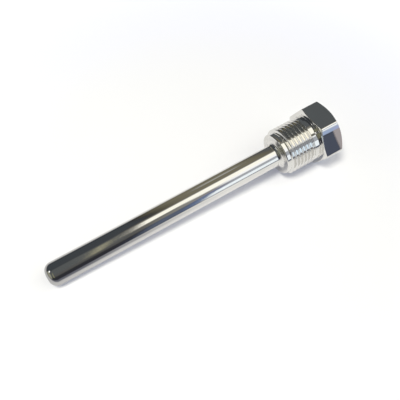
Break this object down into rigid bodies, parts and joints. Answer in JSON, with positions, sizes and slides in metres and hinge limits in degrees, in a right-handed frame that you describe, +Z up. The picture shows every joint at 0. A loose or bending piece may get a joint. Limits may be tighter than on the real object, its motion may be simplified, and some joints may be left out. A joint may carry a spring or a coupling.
{
  "type": "thermowell",
  "caption": "Slim closed-end thermowell with a rounded tip, a threaded shank and a hexagon head, bored for a sensor.",
  "frame": {"origin": "on the table under the middle of the lying thermowell, at the bottom centre of its box", "axes": "+Z up, +X along its length toward the hexagon head, tip toward -X; its own axis rises 3.29 degrees from the table toward the head"},
  "size_m": [0.1356, 0.0278, 0.0245],
  "materials": {
    "stainless_steel": "bright turned and polished stainless steel"
  },
  "bodies": {
    "root": {"thermowell": "stainless_steel"}
  },
  "joints": []
}
